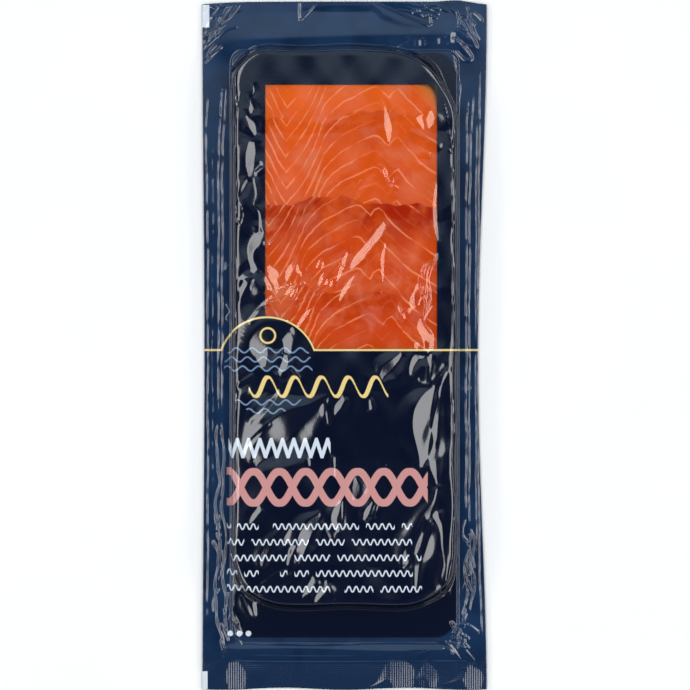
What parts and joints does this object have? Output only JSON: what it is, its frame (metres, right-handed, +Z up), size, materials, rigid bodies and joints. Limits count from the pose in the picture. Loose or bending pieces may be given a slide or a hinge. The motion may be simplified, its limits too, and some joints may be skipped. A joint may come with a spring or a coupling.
{
  "type": "vacuum pack of smoked salmon",
  "caption": "Flat vacuum pack of sliced smoked salmon on a gold card, sealed in navy printed film with a clear window over the upper slices.",
  "frame": {"origin": "on the ground under the middle of the pack", "axes": "+Z up through the printed face, +Y along the pack towards the end with the window, +X across it to the right"},
  "size_m": [0.132, 0.32, 0.0137],
  "materials": {
    "back_film": "smooth navy film, lightly creased",
    "gold_card": "satin gold foil on card",
    "salmon": "moist raw smoked flesh with pale fat lines",
    "printed_film": "glossy printed navy film, shrunk tight with sharp creases",
    "clear_film": "clear glossy film"
  },
  "bodies": {
    "root": {"back_film": "back_film", "board": "gold_card", "salmon_slice_1": "salmon", "salmon_slice_2": "salmon", "salmon_slice_3": "salmon", "salmon_slice_4": "salmon", "salmon_slice_5": "salmon", "salmon_slice_6": "salmon", "salmon_slice_7": "salmon", "printed_film": "printed_film", "window_film": "clear_film"}
  },
  "joints": []
}
